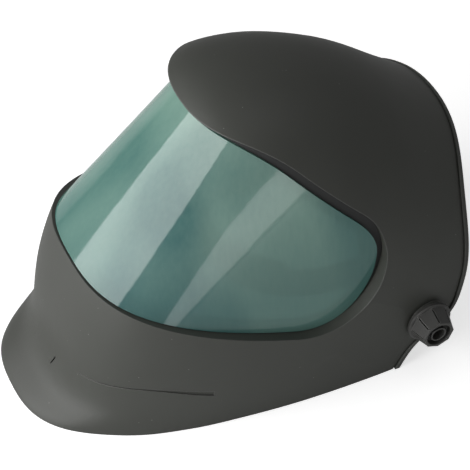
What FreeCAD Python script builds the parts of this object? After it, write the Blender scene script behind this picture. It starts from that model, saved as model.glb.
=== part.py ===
# Welding helmet: moulded shell with a wide tinted visor, and the headgear that carries it.
# Millimetres. +Z up, the helmet looks along -Y, the wearer's left is +X. It stands on its bottom rim
# at Z = 0, and the origin is under the middle of its overall length.
import FreeCAD, Part
import math
import os
from FreeCAD import Placement, Rotation, Vector

doc = FreeCAD.newDocument("welding_helmet")
sheet = doc.addObject("Spreadsheet::Sheet", "sizes")

SIZES = [
    # shell
    ("shell_half_width", 117, "half of the shell's width at the pivots"),
    ("shell_wall", 2.5, "wall of the moulded shell"),
    ("pivot_back", 122, "pivot axis behind the origin"),
    ("pivot_height", 48, "pivot axis above the bottom rim"),
    ("lip_reach", 306, "pivot axis to the front of the chin lip"),
    ("fan_forward", 36.5, "fan centre, from which the shell's curves reach, ahead of the pivot axis"),
    ("fan_raise", 15, "fan centre above the pivot axis"),
    ("reach_far_below", 242, "fan centre to the closing curve below the rim, 80 degrees down"),
    ("reach_below_chin", 240, "fan centre to the plain curve 50 degrees down"),
    ("reach_chin", 245, "fan centre to the plain curve at the chin, 20 degrees down"),
    ("reach_cheek", 232, "fan centre to the plain curve straight ahead"),
    ("reach_sill", 218, "fan centre to the plain curve at the window's lower edge, 20 degrees up"),
    ("reach_window", 207, "fan centre to the plain curve in mid window, 40 degrees up"),
    ("reach_brow", 214, "fan centre to the brow, 60 degrees up"),
    ("reach_forehead", 188, "fan centre to the top behind the brow, 80 degrees up"),
    ("reach_fore_crown", 161, "fan centre to the top, 100 degrees up"),
    ("reach_crown", 145, "fan centre to the crown, 120 degrees up"),
    ("reach_back_crown", 150, "fan centre to the back of the crown, 150 degrees up"),
    ("reach_nape", 165, "fan centre to the closing curve straight behind"),
    ("reach_below_nape", 190, "fan centre to the closing curve 40 degrees below that"),
    ("flare_height", 42, "height over which the chin flares out"),
    ("flare_half_width", 108, "half width over which the chin flares out"),
    ("crease_depth", 1.2, "depth of the crease above the chin"),
    ("crease_front", 265, "front end of the crease ahead of the pivot axis"),
    ("crease_back", 178, "rear end of the crease ahead of the pivot axis"),
    ("crease_height", 46, "crease above the bottom rim"),
    ("slit_width", 1.4, "width of the slit in the chin"),
    ("slit_height", 9, "height of the slit in the chin"),
    ("slit_side", 16, "middle of the slit to the left of the middle"),
    ("slit_raise", 30, "middle of the slit above the bottom rim"),
    ("bead_width", 4, "width of the raised bead along the rear rim"),
    ("bead_proud", 1.4, "height of that bead"),
    ("bead_groove", 1.4, "width of the groove in front of that bead"),
    # window and visor
    ("window_end_forward", 57, "centre of the window's rear curve ahead of the fan centre"),
    ("window_end_raise", 67, "centre of the window's rear curve above the fan centre"),
    ("window_end_radius", 57, "radius of the window's rear curve"),
    ("sill_slope", 18, "fall of the window's lower edge towards the rear, degrees"),
    ("brow_slope", 45, "fall of the window's upper edge towards the rear, degrees"),
    ("brow_raise", 179, "brow edge above the fan centre"),
    ("brow_radius", 90, "radius where the brow edge turns down"),
    ("ledge_wall", 2.4, "thickness of the ledge round the window"),
    ("ledge_depth", 19, "how far the ledge reaches inwards"),
    ("visor_lean", 42, "lean of the visor from upright, degrees"),
    ("visor_wall", 2, "thickness of the visor sheet"),
    ("visor_recess", 11, "front line of the visor behind the plain curve of the shell"),
    ("visor_below", 120, "lower end of the visor sheet below the fan centre, along the lean"),
    ("visor_above", 110, "upper end of the visor sheet above the fan centre, along the lean"),
    ("visor_low_inset", 3.5, "half width of the shell less that of the sheet's lower end"),
    ("visor_high_inset", 15.5, "half width of the shell less that of the sheet's upper end"),
    ("visor_sill_gap", 0.6, "gap from the window's lower edge to the visor"),
    ("visor_end_gap", 5, "gap from the window's rear curve to the visor"),
    ("visor_brow_gap", 9, "gap from the window's upper edge to the visor"),
    ("seal_wall", 2, "thickness of the seal behind the visor"),
    ("frame_wall", 2.4, "thickness of the retaining frame behind the seal"),
    ("clip_wall", 2.5, "thickness of the clips behind the retaining frame"),
    ("clip_width", 12, "width of such a clip"),
    # pivots
    ("pivot_pad_radius", 16, "radius of the flat pad round the pivot hole"),
    ("pad_proud", 0.4, "outer face of the pad beyond the shell's half width"),
    ("pad_length", 10.4, "length of the pivot hole through the pad and its hub"),
    ("bolt_radius", 4, "radius of the pivot bolt"),
    ("bush_radius", 6, "outer radius of the bush in the shell"),
    ("running_gap", 0.08, "radial clearance of a turning fit"),
    ("washer_wall", 1.2, "thickness of the friction washers"),
    ("washer_radius", 12, "radius of the friction washers"),
    ("disc_wall", 2.5, "thickness of the tilt stop disc"),
    ("disc_radius", 19, "radius of the tilt stop disc"),
    ("stop_circle", 14.5, "radius at which the stop pin runs"),
    ("stop_pin_radius", 1.8, "radius of the stop pin moulded in the shell"),
    ("tilt_up", 32, "turn of the headgear from rest to shell raised, degrees"),
    ("tilt_down", 30, "turn of the headgear from rest to shell lowered, degrees"),
    ("bolt_head_radius", 7, "radius of the pivot bolt's head"),
    ("bolt_head_length", 3.5, "length of the pivot bolt's head"),
    ("knob_length", 17, "length of the tension knob"),
    ("knob_base_radius", 18.5, "radius of the knob's skirt"),
    ("knob_skirt", 3, "length of the knob's skirt"),
    ("knob_body_radius", 17.2, "radius of the knob's body above the skirt"),
    ("knob_face_radius", 13, "radius of the knob's outer end"),
    ("knob_sides", 8, "slots and flats round the knob"),
    ("knob_slot", 1.2, "width of those slots"),
    ("insert_sunk", 10, "outer end of the brass insert below the knob's outer end"),
    ("insert_radius", 5.5, "radius of the brass insert in the knob"),
    # headgear
    ("arm_wall", 2.5, "thickness of the side arm"),
    ("slide_travel", 16, "fore-and-aft travel of the headgear"),
    ("block_length", 16, "length of the slide block"),
    ("block_height", 12, "height of the slide block"),
    ("block_flange", 2, "thickness of the slide block's inner flange"),
    ("ring_radius", 74, "inner radius of the headband's curves"),
    ("ring_back", 34, "centre of the rear curve ahead of the pivot axis"),
    ("ring_front", 60, "centre of the front curve ahead of the pivot axis"),
    ("band_wall", 2, "thickness of the headband"),
    ("band_height", 28, "height of the headband"),
    ("band_raise", 36, "middle of the headband above the pivot axis"),
    ("soft_gap", 0.3, "clearance round soft and sliding parts"),
    ("tail_wall", 1.8, "thickness of the rack tails"),
    ("tail_height", 6, "height of a rack tail"),
    ("rack_pitch", 4.4, "pitch of the rack teeth"),
    ("pinion_teeth", 9, "teeth of the pinion"),
    ("tooth_height", 2.4, "height of the rack teeth"),
    ("housing_angle", 24, "half angle that the ratchet housing spans, degrees"),
    ("housing_height", 36, "height of the ratchet housing"),
    ("ratchet_knob_radius", 19, "radius of the ratchet knob"),
    ("ratchet_knob_length", 14.7, "length of the ratchet knob"),
    ("shaft_radius", 3, "radius of the pinion's shaft"),
    ("rivet_radius", 2, "radius of the rivets of the headgear"),
    ("stud_radius", 2.2, "radius of the stud on the crown strap"),
    ("rear_pad_wall", 6, "thickness of the rear pad"),
    ("strap_width", 18, "width of the crown strap"),
    ("strap_wall", 1.6, "thickness of the crown strap"),
    ("strap_rise", 64, "rise of the crown strap's curve"),
    ("pad_wall", 7, "thickness of the sweatband"),
]
for row, (alias, value, note) in enumerate(SIZES, 1):
    sheet.set("A%d" % row, alias)
    sheet.set("B%d" % row, str(value))
    sheet.set("C%d" % row, note)
    sheet.setAlias("B%d" % row, alias)
doc.recompute()


def size(alias):
    return float(sheet.get(alias))


half_width = size("shell_half_width")
wall = size("shell_wall")
pivot_y, pivot_z = size("pivot_back"), size("pivot_height")
fan_y, fan_z = pivot_y - size("fan_forward"), pivot_z + size("fan_raise")
lip_y = pivot_y - size("lip_reach")
pad_out_x = half_width + size("pad_proud")
pad_in_x = pad_out_x - size("pad_length")
made = []


def part_feature(label, shape):
    """A sub-part whose shape is worked out here from the sheet's sizes."""
    feature = doc.addObject("Part::Feature", label)
    feature.Label = label
    feature.Shape = shape
    feature.Placement = Placement()
    made.append(feature)
    return feature


def mirrored(shape):
    return shape.mirror(Vector(0, 0, 0), Vector(1, 0, 0))


# ---- curves of the shell -------------------------------------------------------------------------
# Seen from the side, the shell's middle line is a reach from the fan centre at these angles: up from
# straight ahead, over the crown and on to straight behind, which is 180.
profile_names = [(-80, "reach_far_below"), (-50, "reach_below_chin"), (-20, "reach_chin"), (0, "reach_cheek"),
                 (20, "reach_sill"), (40, "reach_window"), (60, "reach_brow"), (80, "reach_forehead"),
                 (100, "reach_fore_crown"), (120, "reach_crown"), (150, "reach_back_crown"),
                 (180, "reach_nape"), (220, "reach_below_nape")]
profile_knots = [(angle, size(alias)) for angle, alias in profile_names]
front_power, top_power = 2.83, 2.16      # squareness of the cross-section at the front and on top


def profile_radius(angle):
    """Smooth reach between the named ones."""
    count = len(profile_knots)
    turn = (angle + 80) % 360 - 80
    at = max(k for k in range(count) if profile_knots[k][0] <= turn)

    def knot(k):
        return profile_knots[k % count][0] + 360 * (k // count), profile_knots[k % count][1]

    (angle_0, r0), (angle_1, r1), (angle_2, r2), (angle_3, r3) = (knot(at + k) for k in (-1, 0, 1, 2))
    span = angle_2 - angle_1
    share = (turn - angle_1) / span
    start, finish = (r2 - r0) / (angle_2 - angle_0) * span, (r3 - r1) / (angle_3 - angle_1) * span
    rise = r2 - r1
    return (r1 + share * start + share ** 2 * (3 * rise - 2 * start - finish)
            + share ** 3 * (start + finish - 2 * rise))


def section_power(angle):
    share = min(max((angle - 30) / 60, 0), 1)
    if angle > 180:
        share = max(1 - (angle - 180) / 90, 0)
    return front_power + (top_power - front_power) * share


flare_full = fan_y - math.sqrt(profile_radius(-16) ** 2 - fan_z ** 2) - lip_y


def flare(x, z, inset):
    """How far the chin stands forward of the plain curve, at this width and height."""
    spread = 1 - (x / size("flare_half_width")) ** 2
    if spread <= 0:
        return 0
    rise = min(max(1 - z / size("flare_height"), 0), 1.04)
    return max(flare_full - 1.2 * inset, 0) * spread ** 0.6 * rise ** 2.1


def shell_section(x, inset):
    """Closed side curve of the shell at one width, inset from the outer skin."""
    points = []
    width = half_width - inset
    angles = list(range(-70, -40, 10)) + list(range(-40, 10, 4)) + list(range(10, 290, 10))
    for angle in angles:
        turn = math.radians(angle)
        power = section_power(angle)
        reach = (profile_radius(angle) - inset) * (1 - (abs(x) / width) ** power) ** (1 / power)
        y = fan_y - reach * math.cos(turn)
        z = fan_z + reach * math.sin(turn)
        fade = min(max((angle + 70) / 25, 0), 1) if angle < 60 else 0
        points.append(Vector(x, y - flare(x, z, inset) * fade, z))
    curve = Part.BSplineCurve()
    curve.interpolate(points, PeriodicFlag=True)
    return Part.Wire([curve.toShape()])


section_turns = [0, 14, 27, 39, 50, 59, 67, 74, 80, 85]


def shell_body(inset):
    """Solid bounded by the shell's skin at this inset."""
    width = half_width - inset
    half = [width * math.sin(math.radians(t)) ** (2 / 2.5) for t in section_turns[1:]]
    stations = [-x for x in reversed(half)] + [0] + half
    return Part.makeLoft([shell_section(x, inset) for x in stations], True, False)


def prism(points_wire, reach=200):
    """Solid standing across the helmet on a closed side outline."""
    face = Part.Face(points_wire)
    face.translate(Vector(-reach, 0, 0))
    return face.extrude(Vector(2 * reach, 0, 0))


def window_wire(sill, end, brow, front=-260):
    """Side outline of the window, with its three edges moved inwards by the given gaps."""
    centre = Vector(0, fan_y - size("window_end_forward"), fan_z + size("window_end_raise"))
    radius_end = size("window_end_radius") - end
    sill_turn = math.radians(size("sill_slope"))
    brow_turn = math.radians(size("brow_slope"))
    sill_out = Vector(0, -math.sin(sill_turn), -math.cos(sill_turn))
    sill_way = Vector(0, -math.cos(sill_turn), math.sin(sill_turn))
    brow_out = Vector(0, math.sin(brow_turn), math.cos(brow_turn))
    brow_way = Vector(0, -math.cos(brow_turn), math.sin(brow_turn))
    sill_point = centre + sill_out * (size("window_end_radius") - sill)
    brow_point = centre + brow_out * (size("window_end_radius") - brow)
    end_point = centre + Vector(0, radius_end, 0)
    brow_z = fan_z + size("brow_raise") - brow
    steps = (brow_z - brow_point.z) / brow_way.z
    corner = brow_point + brow_way * steps
    tangent = size("brow_radius") * math.tan(brow_turn / 2)
    turn_start = corner - brow_way * tangent
    turn_end = corner + Vector(0, -tangent, 0)
    middle_out = Vector(0, math.sin(brow_turn / 2), math.cos(brow_turn / 2))
    turn_centre = turn_end - Vector(0, 0, size("brow_radius"))
    turn_mid = turn_centre + middle_out * size("brow_radius")
    sill_front = sill_point + sill_way * ((sill_point.y - front) / math.cos(sill_turn))
    rear = Part.BSplineCurve()
    rear.interpolate([sill_point, end_point, brow_point],
                     Tangents=[-sill_way * 60, Vector(0, 0, 90), brow_way * 60],
                     TangentFlags=[True, True, True])
    edges = [
        Part.LineSegment(sill_front, sill_point).toShape(),
        rear.toShape(),
        Part.LineSegment(brow_point, turn_start).toShape(),
        Part.Arc(turn_start, turn_mid, turn_end).toShape(),
        Part.LineSegment(turn_end, Vector(0, front, brow_z)).toShape(),
        Part.LineSegment(Vector(0, front, brow_z), sill_front).toShape(),
    ]
    return Part.Wire(edges)


# rear edge of the shell seen from the side, as distances behind and above the pivot axis
rear_outline = [(-26, -60), (-19, -43), (-7, -25), (23, -7), (35, 14), (41, 44), (43, 78), (48, 101),
                (59, 120), (73, 134)]


def rear_wire(forward=0):
    """Side outline of all that lies behind the shell's rear edge, moved forward by a distance."""
    points = [Vector(0, pivot_y + back - forward, pivot_z + up) for back, up in rear_outline]
    edge = Part.BSplineCurve()
    edge.interpolate(points)
    low, high = points[0], points[-1]
    far = 420
    corners = [high, Vector(0, far, high.z + 60), Vector(0, far, low.z - 60), Vector(0, low.y, low.z - 60),
               low]
    lines = [Part.LineSegment(a, b).toShape() for a, b in zip(corners, corners[1:])]
    return Part.Wire([edge.toShape()] + lines)


disc_in = pad_in_x - size("washer_wall") - size("disc_wall")
arm_out = disc_in
arm_in = arm_out - size("arm_wall")


def side_cylinder(radius, low, high, y=None, z=None):
    """Cylinder along X on the left side, on the pivot axis unless told otherwise."""
    place = Vector(low, pivot_y if y is None else y, pivot_z if z is None else z)
    return Part.makeCylinder(radius, high - low, place, Vector(1, 0, 0))


def stop_pin_place(x):
    """The stop pin stands straight above the pivot axis."""
    return Vector(x, pivot_y, pivot_z + size("stop_circle"))


def skin_marks(core):
    """What is cut from the skin down to the core: a groove in front of the rear bead, a crease on both
    sides of the chin, which widens to its rear end, and a leaning slit through the wall, left of the
    middle."""
    far, near = size("bead_width") + size("bead_groove"), size("bead_width")
    groove = prism(rear_wire(far)).cut(prism(rear_wire(near)))
    front, back = pivot_y - size("crease_front"), pivot_y - size("crease_back")
    level = size("crease_height")
    sides = []
    for drops in ((-3, 0.6, 1.6, -1.4, -6), (-3.6, -0.4, 0, -4.6, -11)):
        spots = [Vector(0, front + (back - front) * k / 4, level + drop) for k, drop in enumerate(drops)]
        side = Part.BSplineCurve()
        side.interpolate(spots)
        sides.append((side.toShape(), spots))
    (over, over_spots), (under, under_spots) = sides
    crease = prism(Part.Wire([over, Part.LineSegment(over_spots[-1], under_spots[-1]).toShape(), under,
                              Part.LineSegment(under_spots[0], over_spots[0]).toShape()]))
    half, tall, shift = size("slit_width") / 2, size("slit_height") / 2, size("slit_height") / 6
    middle, level = size("slit_side"), size("slit_raise")
    corners = [(middle - shift - half, level - tall), (middle - shift + half, level - tall),
               (middle + shift + half, level + tall), (middle + shift - half, level + tall)]
    points = [Vector(x, lip_y - 5, z) for x, z in corners]
    slit = Part.Face(Part.makePolygon(points + points[:1])).extrude(Vector(0, 60, 0))
    return crease.fuse(groove).cut(core).fuse(slit)


def build_shell():
    outer = shell_body(0)
    cavity = shell_body(wall)
    deep = shell_body(size("ledge_depth"))
    proud = shell_body(-size("bead_proud"))
    ground = Part.makeBox(800, 900, 500, Vector(-400, -450, -500))
    behind = prism(rear_wire())
    stripe = prism(rear_wire(size("bead_width")))
    window = prism(window_wire(0, 0, 0))
    grown = size("ledge_wall")
    ledge_zone = prism(window_wire(-grown, -grown, -grown))
    bead = proud.common(stripe).cut(behind)
    solid = outer.fuse(bead).cut(cavity.cut(ledge_zone)).cut(deep)
    solid = solid.cut(window).cut(behind).cut(ground)
    solid = solid.cut(skin_marks(shell_body(size("crease_depth"))))
    pad = side_cylinder(size("pivot_pad_radius"), pad_in_x + wall, pad_out_x)
    hub = side_cylinder(size("washer_radius") + 1, pad_in_x, pad_out_x - 1)
    pin = Part.makeCylinder(size("stop_pin_radius"), half_width - wall - disc_in, stop_pin_place(disc_in),
                            Vector(1, 0, 0))
    boss = pad.fuse(hub).fuse(pin)
    hole = side_cylinder(size("bush_radius"), disc_in, pad_out_x + 20)
    for piece, drill in ((boss, hole), (mirrored(boss), mirrored(hole))):
        solid = solid.fuse(piece).cut(drill)
    return solid


shell = part_feature("shell", build_shell())


# ---- visor, seal and retaining frame -------------------------------------------------------------
visor_powers = (2.9, 2.05)              # squareness of the sheet's curve at its lower and upper end
lean = math.radians(size("visor_lean"))
lean_up = Vector(0, math.sin(lean), math.cos(lean))
lean_out = Vector(0, -math.cos(lean), math.sin(lean))
fan_centre = Vector(0, fan_y, fan_z)
visor_centre, visor_middle = lean_out.dot(fan_centre), lean_up.dot(fan_centre)
visor_levels = (visor_middle - size("visor_below"), visor_middle + size("visor_above"))
visor_half_widths = (half_width - size("visor_low_inset"), half_width - size("visor_high_inset"))
visor_reach = profile_radius(size("visor_lean")) - size("visor_recess")


def visor_edge(level, end, inset):
    """Curve of the visor at one level along the lean, from right to left round the front."""
    reach = visor_reach - inset
    half = visor_half_widths[end] - inset
    power = visor_powers[end]
    points = []
    for turn in range(-90, 91, 6):
        share = abs(math.sin(math.radians(turn)))
        x = math.copysign(half * share ** (2 / power), turn)
        out = visor_centre + reach * abs(math.cos(math.radians(turn))) ** (2 / power)
        points.append(Vector(x, 0, 0) + lean_out * out + lean_up * level)
    return points


def visor_sheet(near, far):
    """Curved conical sheet between two insets from the visor's outer face."""
    rings = []
    for end, level in enumerate(visor_levels):
        front, back = visor_edge(level, end, near), visor_edge(level, end, far)
        curves = []
        for points in (front, back):
            curve = Part.BSplineCurve()
            curve.interpolate(points)
            curves.append(curve.toShape())
        rings.append(Part.Wire([curves[0], Part.LineSegment(front[-1], back[-1]).toShape(), curves[1],
                                Part.LineSegment(back[0], front[0]).toShape()]))
    return Part.makeLoft(rings, True, True)


def visor_outline(extra):
    """Prism of the visor's outline, with its edges moved further in."""
    return prism(window_wire(size("visor_sill_gap") + extra, size("visor_end_gap") + extra,
                             size("visor_brow_gap") + extra))


seal_gap = 0.15
seal_lap, frame_lap = 5, 8              # how far the seal and the frame reach in from the visor's edge
opening = prism(window_wire(seal_gap, seal_gap, seal_gap))
visor_in = size("visor_wall")
seal_in = visor_in + size("seal_wall")
frame_in = seal_in + size("frame_wall")
clip_in = frame_in + size("clip_wall")


def build_clips():
    """Clips wedged between the window's ledge and the back of the retaining frame: five along the brow
    and five along the sill."""
    strip = visor_sheet(frame_in, clip_in).common(opening).cut(visor_outline(frame_lap - 3))
    clips = []
    for share in (-0.62, -0.31, 0, 0.31, 0.62):
        x = share * half_width
        slab = Part.makeBox(size("clip_width"), 900, 900, Vector(x - size("clip_width") / 2, -450, -450))
        clips += [piece for piece in strip.common(slab).Solids if piece.Volume > size("clip_width") ** 2]
    return Part.makeCompound(clips)


part_feature("visor", visor_sheet(0, visor_in).common(visor_outline(0)))
part_feature("visor_seal", visor_sheet(visor_in, seal_in).common(opening).cut(visor_outline(seal_lap)))
part_feature("visor_frame", visor_sheet(seal_in, frame_in).common(opening).cut(visor_outline(frame_lap)))
part_feature("frame_clips", build_clips())


# ---- pivots --------------------------------------------------------------------------------------
def bound(kind, name, **links):
    """A Part primitive whose properties follow cells of the sheet."""
    item = doc.addObject("Part::" + kind, name)
    for prop, text in links.items():
        if isinstance(text, str):
            item.setExpression(prop, text)
        else:
            setattr(item, prop, text)
    return item


def along_x(item, x_text):
    """Lay a primitive's axis along X on the pivot axis, starting at the given distance."""
    item.Placement = Placement(Vector(0, 0, 0), Rotation(Vector(0, 1, 0), 90))
    item.setExpression("Placement.Base.x", x_text)
    item.setExpression("Placement.Base.y", "sizes.pivot_back")
    item.setExpression("Placement.Base.z", "sizes.pivot_height")
    return item


def ring(label, outer_text, inner_text, length_text, x_text):
    """Plain washer or bush on the pivot axis."""
    body = along_x(bound("Cylinder", label + "_body", Radius=outer_text, Height=length_text), x_text)
    bore = along_x(bound("Cylinder", label + "_bore", Radius=inner_text, Height=length_text + " + 2"),
                   x_text + " - 1")
    cut = doc.addObject("Part::Cut", label)
    cut.Base, cut.Tool = body, bore
    cut.Label = label
    made.append(cut)
    return cut


def union(name, *items):
    fuse = doc.addObject("Part::MultiFuse", name)
    fuse.Shapes = list(items)
    return fuse


def cut_away(name, base, tool):
    cut = doc.addObject("Part::Cut", name)
    cut.Base, cut.Tool = base, tool
    return cut


def opposite(source, label):
    """The same piece on the wearer's right."""
    item = doc.addObject("Part::Mirroring", label)
    item.Source = source
    item.Normal = Vector(1, 0, 0)
    item.Label = label
    made.append(item)
    return item


def named(item, label):
    item.Label = label
    made.append(item)
    return item


bolt_hole = "sizes.bolt_radius + sizes.running_gap"
pad_out = "sizes.shell_half_width + sizes.pad_proud"
pad_in = pad_out + " - sizes.pad_length"
bush = ring("pivot_bush_left", "sizes.bush_radius", bolt_hole, "sizes.pad_length", pad_in)
outer_washer = ring("outer_washer_left", "sizes.washer_radius", bolt_hole, "sizes.washer_wall", pad_out)
inner_washer = ring("inner_washer_left", "sizes.washer_radius", bolt_hole, "sizes.washer_wall",
                    pad_in + " - sizes.washer_wall")

# tilt stop disc: turns with the headgear, its curved slot rides on the stop pin of the shell
disc_x = pad_in + " - sizes.washer_wall - sizes.disc_wall"
disc_body = along_x(bound("Cylinder", "disc_body", Radius="sizes.disc_radius", Height="sizes.disc_wall"),
                    disc_x)
disc_bore = along_x(bound("Cylinder", "disc_bore", Radius=bolt_hole, Height="sizes.disc_wall + 2"),
                    disc_x + " - 1")


def slot_shape():
    """Curved slot on the stop circle, long enough for the tilt both ways."""
    middle, half = size("stop_circle"), size("stop_pin_radius") + size("soft_gap")
    play = math.degrees(half / middle)
    # turning the headgear up by an angle brings the slot's other end to the pin
    low, high = 90 - size("tilt_up") - play, 90 + size("tilt_down") + play
    start = Vector(disc_in - 1, pivot_y, pivot_z)

    def at(radius, angle):
        turn = math.radians(angle)
        return start + Vector(0, radius * math.cos(turn), radius * math.sin(turn))

    mid = (low + high) / 2
    edges = [
        Part.Arc(at(middle + half, low), at(middle + half, mid), at(middle + half, high)).toShape(),
        Part.LineSegment(at(middle + half, high), at(middle - half, high)).toShape(),
        Part.Arc(at(middle - half, high), at(middle - half, mid), at(middle - half, low)).toShape(),
        Part.LineSegment(at(middle - half, low), at(middle + half, low)).toShape(),
    ]
    return Part.Face(Part.Wire(edges)).extrude(Vector(size("disc_wall") + 2, 0, 0))


slot = doc.addObject("Part::Feature", "stop_slot")
slot.Shape = slot_shape()
disc = named(cut_away("stop_disc_left", disc_body, union("disc_cuts", disc_bore, slot)), "stop_disc_left")

# pivot bolt: shank from the slide block to the knob's insert, six-sided head inside
arm_inner = disc_x + " - sizes.arm_wall"
head_x = arm_inner + " - sizes.block_flange - sizes.bolt_head_length"
head = along_x(bound("Prism", "bolt_head", Polygon=6, Circumradius="sizes.bolt_head_radius",
                     Height="sizes.bolt_head_length"), head_x)
bolt_end = pad_out + " + sizes.washer_wall + sizes.knob_length - sizes.insert_sunk - 1"
shank = along_x(bound("Cylinder", "bolt_shank", Radius="sizes.bolt_radius",
                      Height=bolt_end + " - (" + head_x + ")"), head_x)
bolt = named(union("pivot_bolt_left", head, shank), "pivot_bolt_left")

# slide block: nylon block in the arm's slot, with a flange on the inside
block_x = arm_inner
block_body = bound("Box", "block_body", Length="sizes.arm_wall", Width="sizes.block_length",
                   Height="sizes.block_height")
block_body.setExpression("Placement.Base.x", block_x)
block_body.setExpression("Placement.Base.y", "sizes.pivot_back - sizes.block_length / 2")
block_body.setExpression("Placement.Base.z", "sizes.pivot_height - sizes.block_height / 2")
block_flange = bound("Box", "block_flange", Length="sizes.block_flange", Width="sizes.block_length + 4",
                     Height="sizes.block_height + 6")
block_flange.setExpression("Placement.Base.x", block_x + " - sizes.block_flange")
block_flange.setExpression("Placement.Base.y", "sizes.pivot_back - sizes.block_length / 2 - 2")
block_flange.setExpression("Placement.Base.z", "sizes.pivot_height - sizes.block_height / 2 - 3")
block_bore = along_x(bound("Cylinder", "block_bore", Radius="sizes.bolt_radius", Height=20),
                     block_x + " - 10")
block = named(cut_away("slide_block_left", union("block_solid", block_body, block_flange), block_bore),
              "slide_block_left")

# tension knob: turned body with a skirt, flats with slots between them, a recess round the centre tube
knob_x = pad_out_x + size("washer_wall")
knob_body = doc.addObject("PartDesign::Body", "knob_body")
profile_sketch = knob_body.newObject("Sketcher::SketchObject", "knob_profile")
origin_planes = {f.Role: f for f in knob_body.Origin.OriginFeatures}
profile_sketch.AttachmentSupport = (origin_planes["XZ_Plane"], [""])
profile_sketch.MapMode = "FlatFace"
skirt_r, body_r, face_r = size("knob_base_radius"), size("knob_body_radius"), size("knob_face_radius")
knob_l, skirt_l, insert_r = size("knob_length"), size("knob_skirt"), size("insert_radius")
tube_r = insert_r + 1.3
outline = [(insert_r, 0), (skirt_r, 0), (skirt_r, skirt_l - 0.8), (body_r, skirt_l), (face_r, knob_l),
           (face_r - 2.6, knob_l), (face_r - 3, knob_l - 5), (tube_r, knob_l - 5),
           (tube_r - 0.3, knob_l - 0.6), (insert_r, knob_l - 0.6)]
for (x1, y1), (x2, y2) in zip(outline, outline[1:] + outline[:1]):
    profile_sketch.addGeometry(Part.LineSegment(Vector(x1, y1, 0), Vector(x2, y2, 0)), False)
knob_turned = knob_body.newObject("PartDesign::Revolution", "knob_turned")
knob_turned.Profile = profile_sketch
knob_turned.ReferenceAxis = (origin_planes.get("Z_Axis") or knob_body.Origin.OriginFeatures[2], [""])
knob_turned.Angle = 360
doc.recompute()
rib = knob_body.newObject("Sketcher::SketchObject", "knob_groove_line")
rib.AttachmentSupport = (origin_planes["XZ_Plane"], [""])
rib.MapMode = "FlatFace"
groove = [(body_r - 3, skirt_l + 1.2), (body_r + 3, skirt_l + 1.2), (face_r + 4, knob_l - 1.2),
          (face_r - 1.6, knob_l - 1.2)]
for (x1, y1), (x2, y2) in zip(groove, groove[1:] + groove[:1]):
    rib.addGeometry(Part.LineSegment(Vector(x1, y1, 0), Vector(x2, y2, 0)), False)
knob_groove = knob_body.newObject("PartDesign::Pocket", "knob_groove")
knob_groove.Profile = rib
knob_groove.Midplane = True
knob_groove.setExpression("Length", "sizes.knob_slot")
facing = math.radians(180 / size("knob_sides"))
flat_sketch = knob_body.newObject("Sketcher::SketchObject", "knob_flat_line")
flat_sketch.AttachmentSupport = (origin_planes["XZ_Plane"], [""])
flat_sketch.MapMode = "FlatFace"
flat_sketch.AttachmentOffset = Placement(Vector(0, 0, 0), Rotation(Vector(0, 1, 0), math.degrees(facing)))
low_r, high_r = body_r * math.cos(facing), face_r * math.cos(facing)
flat = [(low_r, skirt_l), (low_r + 8, skirt_l), (high_r + 10, knob_l + 1),
        (high_r - (low_r - high_r) / (knob_l - skirt_l), knob_l + 1)]
for (x1, y1), (x2, y2) in zip(flat, flat[1:] + flat[:1]):
    flat_sketch.addGeometry(Part.LineSegment(Vector(x1, y1, 0), Vector(x2, y2, 0)), False)
knob_flat = knob_body.newObject("PartDesign::Pocket", "knob_flat")
knob_flat.Profile = flat_sketch
knob_flat.Midplane = True
knob_flat.Length = 40
around = knob_body.newObject("PartDesign::PolarPattern", "knob_grooves")
around.Originals = [knob_groove, knob_flat]
around.Axis = (origin_planes.get("Z_Axis") or knob_body.Origin.OriginFeatures[2], [""])
around.Angle = 360
around.setExpression("Occurrences", "sizes.knob_sides")
knob_body.Tip = around
knob_body.Placement = Placement(Vector(knob_x, pivot_y, pivot_z), Rotation(Vector(0, 1, 0), 90))
knob = named(knob_body, "tension_knob_left")
insert = ring("knob_insert_left", "sizes.insert_radius", bolt_hole,
              "sizes.knob_length - sizes.insert_sunk", pad_out + " + sizes.washer_wall")


# ---- headgear ------------------------------------------------------------------------------------
back_y, front_y = pivot_y - size("ring_back"), pivot_y - size("ring_front")
ring_r, band_wall = size("ring_radius"), size("band_wall")
band_z = pivot_z + size("band_raise")
band_low, band_high = band_z - size("band_height") / 2, band_z + size("band_height") / 2
gap = size("soft_gap")
arm_wall = size("arm_wall")


def sector(centre_y, near, far, first, last, low, high):
    """Part of an upright ring round (0, centre_y); angles in degrees from +X towards +Y."""
    def at(radius, angle):
        turn = math.radians(angle)
        return Vector(radius * math.cos(turn), centre_y + radius * math.sin(turn), low)

    mid = (first + last) / 2
    edges = [
        Part.Arc(at(far, first), at(far, mid), at(far, last)).toShape(),
        Part.LineSegment(at(far, last), at(near, last)).toShape(),
        Part.Arc(at(near, last), at(near, mid), at(near, first)).toShape(),
        Part.LineSegment(at(near, first), at(far, first)).toShape(),
    ]
    return Part.Face(Part.Wire(edges)).extrude(Vector(0, 0, high - low))


def block_between(low, high):
    return Part.makeBox(*(b - a for a, b in zip(low, high)), Vector(*low))


def polygon_prism(points, direction):
    wire = Part.makePolygon([Vector(*p) for p in points] + [Vector(*points[0])])
    return Part.Face(wire).extrude(Vector(*direction))


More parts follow.
